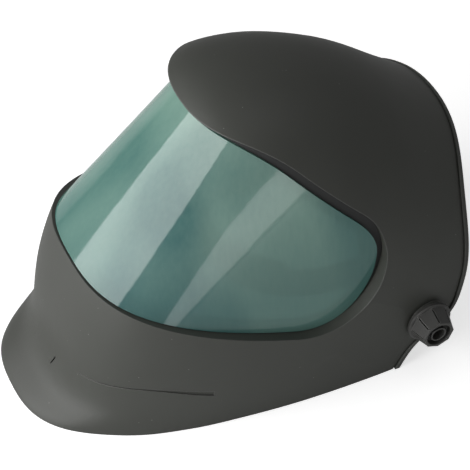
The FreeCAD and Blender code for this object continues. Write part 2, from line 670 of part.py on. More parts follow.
def build_headband():
    """Front curve and straight sides of the head ring, in one moulded strip."""
    front = sector(front_y, ring_r, ring_r + band_wall, 180, 360, band_low, band_high)
    side = block_between((ring_r, front_y, band_low), (ring_r + band_wall, back_y + 10, band_high))
    x, start, end = ring_r - 1, back_y - 6, back_y + 11
    for edge, way in ((band_low, 1), (band_high, -1)):
        taper = [(x, start, edge - way), (x, end, edge - way), (x, end, edge + 7 * way)]
        side = side.cut(polygon_prism(taper, (band_wall + 2, 0, 0)))
    band = front.fuse(side).fuse(mirrored(side)).removeSplitter()
    for place in arm_rivet_places:
        hole = Part.makeCylinder(rivet_r, 300, Vector(-150, *place), Vector(1, 0, 0))
        band = band.cut(hole)
    hole = crown_rivet_hole()
    return band.cut(hole).cut(mirrored(hole))


rivet_r = size("rivet_radius")
rivet_head = 0.9
arm_rivet_places = [(pivot_y - 55, band_z + 7), (pivot_y - 55, band_z - 4)]
crown_pivot = (back_y, band_high - 6)
arm_front = (ring_r + band_wall + gap, ring_r + band_wall + gap + arm_wall)


def crown_rivet_hole():
    """Countersunk from inside, so that the rack tails pass the rivet."""
    y, z = crown_pivot
    hole = Part.makeCylinder(rivet_r, 30, Vector(ring_r, y, z), Vector(1, 0, 0))
    sink = Part.makeCone(rivet_r + sink_depth, rivet_r, sink_depth, Vector(ring_r, y, z), Vector(1, 0, 0))
    return hole.fuse(sink)


sink_depth = 1.4


def build_arm():
    """Side arm: a plate at the band, a jog outwards, and a plate with the slot for the slide block."""
    slot_front = pivot_y - size("block_length") / 2 - size("slide_travel") - gap
    slot_back = pivot_y + size("block_length") / 2 + gap
    near, far = arm_front
    plan = [(near, pivot_y - 70), (near, pivot_y - 47), (arm_in, slot_front - 4), (arm_in, slot_back + 5),
            (arm_out, slot_back + 5), (arm_out, slot_front - 5.4), (far, pivot_y - 48.4), (far, pivot_y - 70)]
    strip = polygon_prism([(x, y, pivot_z - 16) for x, y in plan], (0, 0, 80))
    half = size("block_height") / 2
    side = [(pivot_y - 68, band_low + 4), (pivot_y - 50, band_low + 2), (slot_front - 2, pivot_z - half - 6),
            (slot_back + 1, pivot_z - half - 6), (slot_back + 5, pivot_z - half - 1),
            (slot_back + 5, pivot_z + half + 1), (slot_back + 1, pivot_z + half + 6),
            (slot_front, pivot_z + half + 6), (pivot_y - 46, band_z - 3), (pivot_y - 48, band_high - 4),
            (pivot_y - 52, band_high - 1), (pivot_y - 66, band_high - 1), (pivot_y - 70, band_high - 5),
            (pivot_y - 70, band_low + 7)]
    arm = strip.common(polygon_prism([(70, y, z) for y, z in side], (60, 0, 0)))
    arm = arm.cut(block_between((arm_in - 1, slot_front, pivot_z - half - gap / 2),
                                (arm_out + 1, slot_back, pivot_z + half + gap / 2)))
    for place in arm_rivet_places:
        arm = arm.cut(Part.makeCylinder(rivet_r, 60, Vector(60, *place), Vector(1, 0, 0)))
    return arm


def rivet(x_low, x_high, place):
    """Rivet along X with a low round head at each end."""
    y, z = place
    shank = Part.makeCylinder(rivet_r, x_high - x_low, Vector(x_low, y, z), Vector(1, 0, 0))
    inner = Part.makeCylinder(rivet_r * 2, rivet_head, Vector(x_low - rivet_head, y, z), Vector(1, 0, 0))
    outer = Part.makeCylinder(rivet_r * 2, rivet_head, Vector(x_high, y, z), Vector(1, 0, 0))
    return shank.fuse(inner).fuse(outer)


headband = part_feature("headband", build_headband())
side_arm = part_feature("side_arm_left", build_arm())
left_rivets = [rivet(ring_r, arm_front[1], place) for place in arm_rivet_places]
part_feature("arm_rivets", Part.makeCompound(left_rivets + [mirrored(r) for r in left_rivets]))
pad_span = 62
sweat = sector(front_y, ring_r - gap - size("pad_wall"), ring_r - gap, 270 - pad_span, 270 + pad_span,
               band_low - 2, band_high + 4)
part_feature("sweatband", sweat)


# crown strap: two halves that lap on top and are joined by a stud
def crown_half(lift):
    """Left half of the crown strap; lift raises its top over the other half."""
    foot = ring_r + band_wall + gap
    strap = size("strap_wall")
    rise = size("strap_rise") + lift
    wires = []
    for grow in (0, strap):
        points = []
        for turn in range(0, 121, 10):
            angle = math.radians(turn)
            points.append(Vector((foot + grow) * math.cos(angle), back_y - size("strap_width") / 2,
                                 start_z + (rise + grow) * math.sin(angle)))
        curve = Part.BSplineCurve()
        curve.interpolate(points)
        wires.append((curve, points))
    (near, near_points), (far, far_points) = wires
    foot_z = crown_pivot[1] - size("strap_width") / 2
    base = Vector(foot, near_points[0].y, foot_z)
    base_far = Vector(foot + strap, near_points[0].y, foot_z)
    edges = [
        Part.LineSegment(base, near_points[0]).toShape(), near.toShape(),
        Part.LineSegment(near_points[-1], far_points[-1]).toShape(), far.toShape(),
        Part.LineSegment(far_points[0], base_far).toShape(), Part.LineSegment(base_far, base).toShape(),
    ]
    strap_solid = Part.Face(Part.Wire(edges)).extrude(Vector(0, size("strap_width"), 0))
    trim = block_between((-22, back_y - 20, 0), (120, back_y + 20, 300))
    strap_solid = strap_solid.common(trim)
    radius = size("strap_width") / 2
    # the foot is round, about the rivet
    keep = block_between((foot - 15, back_y - radius, crown_pivot[1]), (foot + 15, back_y + radius, 300))
    keep = keep.fuse(Part.makeCylinder(radius, 30, Vector(foot - 15, *crown_pivot), Vector(1, 0, 0)))
    low_part = strap_solid.common(block_between((-60, back_y - 30, 0), (120, back_y + 30, start_z)))
    high_part = strap_solid.cut(block_between((-60, back_y - 30, 0), (120, back_y + 30, start_z)))
    strap_solid = low_part.common(keep).fuse(high_part)
    strap_solid = strap_solid.cut(Part.makeCylinder(rivet_r + size("running_gap"), 60,
                                                    Vector(foot - 15, *crown_pivot), Vector(1, 0, 0)))
    for x in range(-16, 33, 8):
        strap_solid = strap_solid.cut(Part.makeCylinder(stud_r, 200, Vector(x, back_y, 100)))
    return strap_solid.removeSplitter()


start_z = band_high + 6                  # where the straight foot of the strap turns into its arch
top_z = start_z + size("strap_rise")
stud_r = size("stud_radius")
lap_lift = size("strap_wall") + gap
part_feature("crown_strap_left", crown_half(lap_lift))
part_feature("crown_strap_right", mirrored(crown_half(0)))


def build_stud():
    """Stud through both laps of the crown strap, with a flat head under and over them."""
    head = 1.2
    grip = lap_lift + size("strap_wall")
    low = Part.makeCylinder(stud_r * 2, head, Vector(0, back_y, top_z - head - 0.1))
    high = Part.makeCylinder(stud_r * 2, head, Vector(0, back_y, top_z + grip))
    return Part.makeCylinder(stud_r, grip + head, Vector(0, back_y, top_z - head)).fuse(low).fuse(high)


def build_crown_rivet():
    """Rivet with a countersunk head in the band and a round head over the strap's foot."""
    y, z = crown_pivot
    head_at = ring_r + band_wall + gap + size("strap_wall") + 0.2
    shank = Part.makeCylinder(rivet_r, head_at - ring_r, Vector(ring_r, y, z), Vector(1, 0, 0))
    sunk = Part.makeCone(rivet_r + sink_depth, rivet_r, sink_depth, Vector(ring_r, y, z), Vector(1, 0, 0))
    outer = Part.makeCylinder(rivet_r * 2, rivet_head, Vector(head_at, y, z), Vector(1, 0, 0))
    return shank.fuse(sunk).fuse(outer)


part_feature("crown_stud", build_stud())
crown_rivet = build_crown_rivet()
part_feature("crown_rivets", Part.makeCompound([crown_rivet, mirrored(crown_rivet)]))

# rear: two rack tails pass through the ratchet housing and mesh with its pinion
tail_far = ring_r - gap
tail_near = tail_far - size("tail_wall")
pitch_r = size("rack_pitch") * size("pinion_teeth") / (2 * math.pi)
tooth = size("tooth_height")
tail_end = 112                          # angle at which the tail's free end lies, degrees


def build_tail(shift):
    """Left tail: an arc strip over the pinion with its teeth down, and a pad at the side of the head ring.
    shift moves the teeth along, in pitches."""
    root = band_z + pitch_r + tooth / 2
    top = root + size("tail_height")
    strip = sector(back_y, tail_near, tail_far, 12, tail_end, root, top)
    pad = sector(back_y, tail_near, tail_far, -7, 14, band_z - 9, band_z + 9)
    neck = sector(back_y, tail_near, tail_far, 8, 22, band_z - 2, top)
    middle_r = (tail_near + tail_far) / 2
    step = math.degrees(size("rack_pitch") / middle_r)
    half_base, half_tip = size("rack_pitch") * 0.27, size("rack_pitch") * 0.1
    teeth = []
    for index in range(int((90 - tail_end) / step), int((90 - 30) / step)):
        angle = math.radians(90 - (index + shift) * step)
        out, along = Vector(math.cos(angle), math.sin(angle), 0), Vector(-math.sin(angle), math.cos(angle), 0)
        start = Vector(0, back_y, 0) + out * (tail_near - 0.5)
        points = []
        for offset, z in ((-half_base, root + 0.4), (-half_tip, root - tooth), (half_tip, root - tooth),
                          (half_base, root + 0.4)):
            points.append(start + along * offset + Vector(0, 0, z))
        teeth.append(polygon_prism(points, out * (size("tail_wall") + 1)))
    comb = teeth[0].multiFuse(teeth[1:]).common(sector(back_y, tail_near, tail_far, 20, tail_end,
                                                       root - 2 * tooth, root + 0.3))
    return strip.fuse(pad).fuse(neck).fuse(comb).removeSplitter()


def build_pinion():
    count = int(size("pinion_teeth"))
    tip, root = pitch_r + tooth / 2 - 0.25, pitch_r - tooth / 2 - 0.1
    points = []
    for index in range(count):
        middle = 360 / count * (index + 0.5)
        for off, radius in ((-0.25, root), (-0.105, tip), (0.105, tip), (0.25, root)):
            turn = math.radians(middle + off * 360 / count)
            points.append((radius * math.sin(turn), back_y + tail_near, band_z + radius * math.cos(turn)))
    wheel = polygon_prism(points, (0, tail_far - tail_near - gap, 0))
    shaft = Part.makeCylinder(shaft_r, knob_back - 3 - (back_y + tail_near),
                              Vector(0, back_y + tail_near, band_z), Vector(0, 1, 0))
    return wheel.fuse(shaft).removeSplitter()


housing_far = tail_far + 4
housing_inner = 1.6                     # wall of the housing between the tails and the rear pad
housing_face = back_y + housing_far
cover_in = housing_face - 2
cover_depth = 5
knob_low = cover_in + cover_depth + 0.4
knob_back = knob_low + size("ratchet_knob_length")
shaft_r = size("shaft_radius")
half_housing = size("housing_height") / 2
open_angle = size("housing_angle")


def build_housing():
    """Curved tube, open at both ends for the tails, with a hole for the pinion's shaft."""
    first, last = 90 - open_angle, 90 + open_angle
    tube = sector(back_y, tail_near - housing_inner, housing_far, first, last,
                  band_z - half_housing, band_z + half_housing)
    tube = tube.cut(sector(back_y, tail_near - gap, tail_far + gap, first - 2, last + 2,
                           band_z - half_housing + 2, band_z + half_housing - 2))
    bore = Part.makeCylinder(shaft_r + size("running_gap"), 30, Vector(0, back_y + tail_near - 10, band_z),
                             Vector(0, 1, 0))
    tube = tube.cut(bore)
    seat_r = size("ratchet_knob_radius") - 3
    return tube.cut(Part.makeCylinder(seat_r, 20, Vector(0, cover_in, band_z), Vector(0, 1, 0)))


def disc_y(radius, bore, low, high):
    body = Part.makeCylinder(radius, high - low, Vector(0, low, band_z), Vector(0, 1, 0))
    return body.cut(Part.makeCylinder(bore, high - low + 2, Vector(0, low - 1, band_z), Vector(0, 1, 0)))


def turned_over(shape):
    """Half a turn about the pinion's axis."""
    return mirrored(shape).mirror(Vector(0, 0, band_z), Vector(0, 0, 1))


# the pinion has an odd number of teeth, so the lower rack stands half a pitch along
part_feature("rack_tail_left", build_tail(0))
part_feature("rack_tail_right", turned_over(build_tail(0.5)))
part_feature("ratchet_pinion", build_pinion())
part_feature("ratchet_housing", build_housing())


def build_cover():
    """Cup screwed to the housing, which holds the detent ring."""
    radius = size("ratchet_knob_radius")
    cup = disc_y(radius - 3.2, shaft_r + size("running_gap"), cover_in, cover_in + cover_depth)
    return cup.cut(Part.makeCylinder(radius - 5, cover_depth, Vector(0, cover_in + 1.5, band_z),
                                     Vector(0, 1, 0)))


part_feature("ratchet_cover", build_cover())


def build_detent():
    """Ring with inner notches that the knob's pawls click over."""
    outer_r = size("ratchet_knob_radius") - 5
    count = 30
    points = []
    for index in range(count * 2):
        turn = math.pi * index / count
        radius = outer_r - 1.4 - (0.9 if index % 2 else 0)
        points.append((radius * math.sin(turn), cover_in + 1.5, band_z + radius * math.cos(turn)))
    body = Part.makeCylinder(outer_r, 3, Vector(0, cover_in + 1.5, band_z), Vector(0, 1, 0))
    return body.cut(polygon_prism(points, (0, 3, 0)))


part_feature("detent_ring", build_detent())


def build_ratchet_knob():
    radius = size("ratchet_knob_radius")
    low = knob_low
    body = Part.makeCylinder(radius, knob_back - low, Vector(0, low, band_z), Vector(0, 1, 0))
    count = 12
    for index in range(count):
        turn = 2 * math.pi * index / count
        body = body.cut(Part.makeCylinder(2.6, 40, Vector((radius + 1.2) * math.sin(turn), low - 1,
                                                          band_z + (radius + 1.2) * math.cos(turn)),
                                          Vector(0, 1, 0)))
    return body.cut(Part.makeCylinder(shaft_r, knob_back - 3 - low, Vector(0, low, band_z), Vector(0, 1, 0)))


part_feature("ratchet_knob", build_ratchet_knob())
rear_pad_far = tail_near - housing_inner - gap
part_feature("rear_pad", sector(back_y, rear_pad_far - size("rear_pad_wall"), rear_pad_far, 90 - 26, 90 + 26,
                                band_z - 15, band_z + 15))
for source, label in ((bush, "pivot_bush"), (outer_washer, "outer_washer"), (inner_washer, "inner_washer"),
                      (disc, "stop_disc"), (bolt, "pivot_bolt"), (block, "slide_block"),
                      (knob, "tension_knob"), (insert, "knob_insert"), (side_arm, "side_arm")):
    opposite(source, label + "_right")
doc.recompute()

# ---- checks and files ----------------------------------------------------------------------------
for item in doc.Objects:
    if "Invalid" in item.State or "Error" in item.State:
        raise RuntimeError("%s did not build: %s" % (item.Label, item.State))
for item in made:
    if item.Shape.isNull() or not item.Shape.isValid() or item.Shape.Volume <= 0:
        raise RuntimeError("%s has no sound solid" % item.Label)
os.makedirs("parts", exist_ok=True)
for item in made:
    item.Shape.exportStep("parts/" + item.Label + ".step")
    print(item.Label, len(item.Shape.Solids), round(item.Shape.Volume))
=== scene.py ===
import math
import bpy
from mathutils import Matrix, Vector


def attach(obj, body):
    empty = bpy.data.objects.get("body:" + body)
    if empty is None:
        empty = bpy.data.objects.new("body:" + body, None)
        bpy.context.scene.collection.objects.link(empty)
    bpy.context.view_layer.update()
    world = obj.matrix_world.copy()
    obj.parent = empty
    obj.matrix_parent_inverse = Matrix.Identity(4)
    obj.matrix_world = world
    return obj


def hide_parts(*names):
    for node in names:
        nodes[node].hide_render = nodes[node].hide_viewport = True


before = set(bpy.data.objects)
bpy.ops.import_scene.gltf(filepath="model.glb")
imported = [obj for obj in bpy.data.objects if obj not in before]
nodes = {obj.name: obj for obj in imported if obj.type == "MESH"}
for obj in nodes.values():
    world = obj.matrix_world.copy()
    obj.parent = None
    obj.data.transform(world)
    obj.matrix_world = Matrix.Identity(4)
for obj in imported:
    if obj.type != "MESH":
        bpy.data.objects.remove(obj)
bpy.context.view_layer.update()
print("frame loaded:", len(nodes), "nodes")


# helpers
def newMaterial(name):
    material = bpy.data.materials.new(name)
    material.use_nodes = True
    return material, material.node_tree.nodes, material.node_tree.links


def giveMaterial(piece, material):
    piece.data.materials.clear()
    piece.data.materials.append(material)
    for face in piece.data.polygons:
        face.material_index = 0


def startGroup(name, inputs, outputs):
    group = bpy.data.node_groups.new(name, "ShaderNodeTree")
    for label, kind, value in inputs:
        socket = group.interface.new_socket(label, in_out="INPUT", socket_type=kind)
        if value is not None:
            socket.default_value = value
    for label, kind in outputs:
        group.interface.new_socket(label, in_out="OUTPUT", socket_type=kind)
    start = group.nodes.new("NodeGroupInput")
    end = group.nodes.new("NodeGroupOutput")
    return group, start, end


def placeGroup(tree, group, values, coords=None):
    node = tree.nodes.new("ShaderNodeGroup")
    node.node_tree = group
    for label, value in values.items():
        node.inputs[label].default_value = value
    if coords is not None:
        tree.links.new(coords, node.inputs["Vector"])
    return node


def mathNode(tree, operation, first, second=None, third=None):
    node = tree.nodes.new("ShaderNodeMath")
    node.operation = operation
    for socket, value in zip(node.inputs, (first, second, third)):
        if value is None:
            continue
        if isinstance(value, (int, float)):
            socket.default_value = value
        else:
            tree.links.new(value, socket)
    return node.outputs[0]


def mixColour(tree, factor, first, second):
    node = tree.nodes.new("ShaderNodeMix")
    node.data_type = "RGBA"
    for socket, value in ((node.inputs["Factor"], factor), (node.inputs[6], first), (node.inputs[7], second)):
        if isinstance(value, (int, float)):
            socket.default_value = value
        elif isinstance(value, tuple):
            socket.default_value = (*value, 1) if len(value) == 3 else value
        else:
            tree.links.new(value, socket)
    return node.outputs[2]


def bumpSurface(tree, surface, height, normal, strength, distance):
    bump = tree.nodes.new("ShaderNodeBump")
    bump.inputs["Strength"].default_value = strength
    bump.inputs["Distance"].default_value = distance
    tree.links.new(height, bump.inputs["Height"])
    if normal is not None:
        tree.links.new(normal, bump.inputs["Normal"])
    tree.links.new(bump.outputs[0], surface.inputs["Normal"])


def noiseNode(tree, coords, scale, detail):
    noise = tree.nodes.new("ShaderNodeTexNoise")
    noise.inputs["Detail"].default_value = detail
    if isinstance(scale, (int, float)):
        noise.inputs["Scale"].default_value = scale
    else:
        tree.links.new(scale, noise.inputs["Scale"])
    tree.links.new(coords, noise.inputs["Vector"])
    return noise


# shared effects
def buildGrainGroup():
    group, start, end = startGroup(
        "mouldedGrain",
        [("Vector", "NodeSocketVector", None), ("Scale", "NodeSocketFloat", 1800.0),
         ("Depth", "NodeSocketFloat", 0.3)],
        [("Height", "NodeSocketFloat"), ("Cloud", "NodeSocketFloat")])
    fine = noiseNode(group, start.outputs["Vector"], start.outputs["Scale"], 3)
    fine.inputs["Roughness"].default_value = 0.6
    cloud = noiseNode(group, start.outputs["Vector"], 14, 4)       # patches a few centimetres wide
    height = mathNode(group, "MULTIPLY", fine.outputs[0], start.outputs["Depth"])
    group.links.new(height, end.inputs["Height"])
    group.links.new(cloud.outputs[0], end.inputs["Cloud"])
    return group


def buildWearGroup():
    group, start, end = startGroup(
        "edgeWear",
        [("Vector", "NodeSocketVector", None), ("Radius", "NodeSocketFloat", 0.0012),
         ("Amount", "NodeSocketFloat", 0.6)],
        [("Mask", "NodeSocketFloat"), ("Soft Normal", "NodeSocketVector")])
    bevel = group.nodes.new("ShaderNodeBevel")
    bevel.samples = 6
    group.links.new(start.outputs["Radius"], bevel.inputs["Radius"])
    geometry = group.nodes.new("ShaderNodeNewGeometry")
    dot = group.nodes.new("ShaderNodeVectorMath")
    dot.operation = "DOT_PRODUCT"
    group.links.new(bevel.outputs[0], dot.inputs[0])
    group.links.new(geometry.outputs["Normal"], dot.inputs[1])
    edge = mathNode(group, "SUBTRACT", 1.0, dot.outputs["Value"])
    noise = noiseNode(group, start.outputs["Vector"], 320, 5)
    broken = mathNode(group, "MULTIPLY", edge, mathNode(group, "MULTIPLY", noise.outputs[0], 6.0))
    clamp = group.nodes.new("ShaderNodeClamp")
    group.links.new(mathNode(group, "MULTIPLY", broken, start.outputs["Amount"]), clamp.inputs[0])
    group.links.new(clamp.outputs[0], end.inputs["Mask"])
    group.links.new(bevel.outputs[0], end.inputs["Soft Normal"])
    return group


def buildDustGroup():
    group, start, end = startGroup(
        "fineDust",
        [("Vector", "NodeSocketVector", None), ("Density", "NodeSocketFloat", 0.5),
         ("Scale", "NodeSocketFloat", 260.0)],
        [("Mask", "NodeSocketFloat")])
    specks = group.nodes.new("ShaderNodeTexVoronoi")
    specks.feature = "F1"
    group.links.new(start.outputs["Vector"], specks.inputs["Vector"])
    group.links.new(start.outputs["Scale"], specks.inputs["Scale"])
    colour = group.nodes.new("ShaderNodeSeparateColor")
    group.links.new(specks.outputs["Color"], colour.inputs[0])
    near = mathNode(group, "LESS_THAN", specks.outputs["Distance"], 0.09)      # size of a speck in its cell
    chosen = mathNode(group, "LESS_THAN", colour.outputs[0], start.outputs["Density"])
    group.links.new(mathNode(group, "MULTIPLY", near, chosen), end.inputs["Mask"])
    return group


grainGroup = buildGrainGroup()
wearGroup = buildWearGroup()
dustGroup = buildDustGroup()


# finishes
plastics = {
    "shellPlastic": dict(
        colour=(0.040, 0.042, 0.036), lighter=(0.054, 0.057, 0.050), worn=(0.16, 0.16, 0.155),
        rough=0.46, roughSpread=0.10, grain=1500.0, depth=0.35, wear=0.5, radius=0.0012, dust=0.04),
    "framePlastic": dict(
        colour=(0.030, 0.030, 0.030), lighter=(0.040, 0.040, 0.040), worn=(0.10, 0.10, 0.10),
        rough=0.42, roughSpread=0.08, grain=1900.0, depth=0.25, wear=0.4, radius=0.0006, dust=0.02),
    "knobPlastic": dict(
        colour=(0.040, 0.040, 0.038), lighter=(0.055, 0.055, 0.052), worn=(0.20, 0.20, 0.19),
        rough=0.36, roughSpread=0.10, grain=2400.0, depth=0.22, wear=0.9, radius=0.0005, dust=0.02),
    "headgearPlastic": dict(
        colour=(0.050, 0.051, 0.055), lighter=(0.064, 0.065, 0.070), worn=(0.15, 0.15, 0.16),
        rough=0.50, roughSpread=0.08, grain=2000.0, depth=0.25, wear=0.5, radius=0.0006, dust=0.02),
    "naturalNylon": dict(
        colour=(0.60, 0.59, 0.54), lighter=(0.68, 0.67, 0.62), worn=(0.45, 0.44, 0.40),
        rough=0.40, roughSpread=0.08, grain=2200.0, depth=0.15, wear=0.3, radius=0.0004, dust=0.02),
    "sealRubber": dict(
        colour=(0.012, 0.013, 0.013), lighter=(0.020, 0.021, 0.021), worn=(0.05, 0.05, 0.05),
        rough=0.62, roughSpread=0.10, grain=2600.0, depth=0.3, wear=0.2, radius=0.0005, dust=0.02),
}


def buildPlastic(name):
    values = plastics[name]
    material, shaders, links = newMaterial(name)
    tree = material.node_tree
    surface = shaders["Principled BSDF"]
    place = shaders.new("ShaderNodeTexCoord").outputs["Object"]
    grain = placeGroup(tree, grainGroup, {"Scale": values["grain"], "Depth": values["depth"]}, place)
    wear = placeGroup(tree, wearGroup, {"Radius": values["radius"], "Amount": values["wear"]}, place)
    dust = placeGroup(tree, dustGroup, {"Density": values["dust"]}, place)
    base = mixColour(tree, grain.outputs["Cloud"], values["colour"], values["lighter"])
    base = mixColour(tree, wear.outputs["Mask"], base, values["worn"])
    base = mixColour(tree, dust.outputs["Mask"], base, tuple(min(c * 4, 0.7) for c in values["lighter"]))
    links.new(base, surface.inputs["Base Color"])
    rough = mathNode(tree, "MULTIPLY_ADD", grain.outputs["Cloud"], values["roughSpread"], values["rough"])
    links.new(rough, surface.inputs["Roughness"])
    bumpSurface(tree, surface, grain.outputs["Height"], wear.outputs["Soft Normal"], 0.35, 0.0002)
    return material


metals = {
    "zincSteel": dict(colour=(0.56, 0.56, 0.57), darker=(0.42, 0.42, 0.44), rough=0.30),
    "plainBrass": dict(colour=(0.70, 0.52, 0.24), darker=(0.52, 0.38, 0.18), rough=0.28),
}


def buildMetal(name):
    values = metals[name]
    material, shaders, links = newMaterial(name)
    tree = material.node_tree
    surface = shaders["Principled BSDF"]
    surface.inputs["Metallic"].default_value = 1
    place = shaders.new("ShaderNodeTexCoord").outputs["Object"]
    grain = placeGroup(tree, grainGroup, {"Scale": 900.0, "Depth": 0.4}, place)
    wear = placeGroup(tree, wearGroup, {"Radius": 0.0004, "Amount": 0.4}, place)
    base = mixColour(tree, grain.outputs["Cloud"], values["colour"], values["darker"])
    links.new(base, surface.inputs["Base Color"])
    rough = mathNode(tree, "MULTIPLY_ADD", grain.outputs["Height"], 0.3, values["rough"])
    links.new(rough, surface.inputs["Roughness"])
    bumpSurface(tree, surface, grain.outputs["Height"], wear.outputs["Soft Normal"], 0.2, 0.0001)
    return material


# the broad bands are painted reflections of the room in the visor's colour, and pale is the colour they paint
visorValues = dict(
    lean=42.0, deep=(0.055, 0.155, 0.150), pale=(0.270, 0.420, 0.355), streaks=260.0, streakPart=0.25,
    reflectionBands=16, reflectionBandPart=0.7, reflectionBandEdges=(0.38, 0.62), stretch=0.02,
    low=(0.030, 0.110, 0.125), lowFrom=0.11, lowOver=0.09, lowPart=0.55,
    # edge is the colour of the painted sheen along the visor's outline
    edge=(0.22, 0.52, 0.40), sheenBlend=0.25, sheenPart=0.8,
    transmission=0.30, rough=0.07, ior=1.58, specular=0.35)


def buildVisorTintAndReflection():
    values = visorValues
    material, shaders, links = newMaterial("visorTintAndReflection")
    tree = material.node_tree
    surface = shaders["Principled BSDF"]
    for socket, key in (("Transmission Weight", "transmission"), ("Roughness", "rough"), ("IOR", "ior"),
                        ("Specular IOR Level", "specular")):
        surface.inputs[socket].default_value = values[key]
    place = shaders.new("ShaderNodeTexCoord").outputs["Object"]
    turn = shaders.new("ShaderNodeMapping")                  # Z runs up the leaning sheet
    turn.inputs["Rotation"].default_value = (math.radians(values["lean"]), 0, 0)
    turn.inputs["Scale"].default_value = (1, 1, values["stretch"])
    links.new(place, turn.inputs["Vector"])
    streaks = noiseNode(tree, turn.outputs[0], values["streaks"], 4)
    reflectionBands = noiseNode(tree, turn.outputs[0], values["reflectionBands"], 1)
    # painted reflection: broad pale bands running up the sheet stand in for the room reflected in the visor
    sharp = shaders.new("ShaderNodeMapRange")
    sharp.inputs["From Min"].default_value, sharp.inputs["From Max"].default_value = values["reflectionBandEdges"]
    links.new(reflectionBands.outputs[0], sharp.inputs["Value"])
    wide = mathNode(tree, "MULTIPLY", sharp.outputs[0], values["reflectionBandPart"])
    blend = mathNode(tree, "MULTIPLY_ADD", streaks.outputs[0], values["streakPart"], wide)
    tintAndReflection = mixColour(tree, blend, values["deep"], values["pale"])
    axes = shaders.new("ShaderNodeSeparateXYZ")
    links.new(place, axes.inputs[0])
    fall = shaders.new("ShaderNodeMapRange")                 # darker toward the lower edge
    fall.inputs["From Min"].default_value = values["lowFrom"] + values["lowOver"]
    fall.inputs["From Max"].default_value = values["lowFrom"]
    fall.inputs["To Max"].default_value = values["lowPart"]
    links.new(axes.outputs["Z"], fall.inputs["Value"])
    tintAndReflection = mixColour(tree, fall.outputs[0], tintAndReflection, values["low"])
    facing = shaders.new("ShaderNodeLayerWeight")            # painted sheen: the sheet is painted paler and greener where it is seen at a grazing angle, along its outline
    facing.inputs["Blend"].default_value = values["sheenBlend"]
    paintedSheen = mathNode(tree, "MULTIPLY", facing.outputs["Facing"], values["sheenPart"])
    links.new(mixColour(tree, paintedSheen, tintAndReflection, values["edge"]), surface.inputs["Base Color"])
    return material


materials = {name: buildPlastic(name) for name in plastics}
materials.update({name: buildMetal(name) for name in metals})
materials["visorTintAndReflection"] = buildVisorTintAndReflection()
finishes = {
    "shell": "shellPlastic", "visor": "visorTintAndReflection", "visor_seal": "sealRubber", "visor_frame": "framePlastic",
    "frame_clips": "framePlastic", "headband": "headgearPlastic", "arm_rivets": "zincSteel",
    "crown_stud": "framePlastic", "crown_rivets": "zincSteel", "ratchet_housing": "headgearPlastic",
    "ratchet_cover": "framePlastic", "detent_ring": "naturalNylon", "ratchet_knob": "knobPlastic",
    "ratchet_pinion": "naturalNylon",
}
for side in ("left", "right"):
    for stem, finish in (("pivot_bush_", "naturalNylon"), ("outer_washer_", "naturalNylon"),
                         ("inner_washer_", "naturalNylon"), ("stop_disc_", "framePlastic"),
                         ("pivot_bolt_", "zincSteel"), ("slide_block_", "naturalNylon"),
                         ("tension_knob_", "knobPlastic"), ("knob_insert_", "plainBrass"),
                         ("side_arm_", "headgearPlastic"), ("crown_strap_", "headgearPlastic"),
                         ("rack_tail_", "headgearPlastic")):
        finishes[stem + side] = finish
for node, finish in finishes.items():
    giveMaterial(nodes[node], materials[finish])
print("finishes given:", len(finishes))


# padded pieces of the headgear
def buildWeaveGroup():
    # plain weave laid round the head ring: along is measured round the ring, up is Z
    group, start, end = startGroup(
        "wovenCotton",
        [("Vector", "NodeSocketVector", None), ("Centre Y", "NodeSocketFloat", 0.062),
         ("Radius", "NodeSocketFloat", 0.07), ("Pitch", "NodeSocketFloat", 0.0009)],
        [("Height", "NodeSocketFloat"), ("Thread", "NodeSocketFloat")])
    axes = group.nodes.new("ShaderNodeSeparateXYZ")
    group.links.new(start.outputs["Vector"], axes.inputs[0])
    back = mathNode(group, "SUBTRACT", axes.outputs["Y"], start.outputs["Centre Y"])
    angle = mathNode(group, "ARCTAN2", back, axes.outputs["X"])
    along = mathNode(group, "MULTIPLY", angle, start.outputs["Radius"])
    pulse = mathNode(group, "DIVIDE", 2 * math.pi, start.outputs["Pitch"])
    warp = mathNode(group, "MULTIPLY", along, pulse)
    weft = mathNode(group, "MULTIPLY", axes.outputs["Z"], pulse)
    crossing = mathNode(group, "MULTIPLY", mathNode(group, "SINE", warp), mathNode(group, "SINE", weft))
    half = mathNode(group, "MULTIPLY_ADD", crossing, 0.5, 0.5)
    over = mathNode(group, "ABSOLUTE", mathNode(group, "SINE", mathNode(group, "MULTIPLY", warp, 0.5)))
    under = mathNode(group, "ABSOLUTE", mathNode(group, "SINE", mathNode(group, "MULTIPLY", weft, 0.5)))
    height = mathNode(group, "MULTIPLY_ADD", mathNode(group, "MULTIPLY", over, under), 0.6,
                      mathNode(group, "MULTIPLY", half, 0.4))
    group.links.new(height, end.inputs["Height"])
    group.links.new(half, end.inputs["Thread"])
    return group


weaveGroup = buildWeaveGroup()
cloths = {
    "bandCotton": dict(colour=(0.022, 0.023, 0.026), lighter=(0.050, 0.051, 0.056), rough=0.86, sheen=0.5,
                       pitch=0.0009, centre=0.062, radius=0.069),
    "padCotton": dict(colour=(0.022, 0.023, 0.026), lighter=(0.050, 0.051, 0.056), rough=0.86, sheen=0.5,
                      pitch=0.0009, centre=0.088, radius=0.067),
    "seamThread": dict(colour=(0.14, 0.14, 0.15), lighter=(0.24, 0.24, 0.25), rough=0.7, sheen=0.3,
                       pitch=0.0003, centre=0.062, radius=0.069),
}


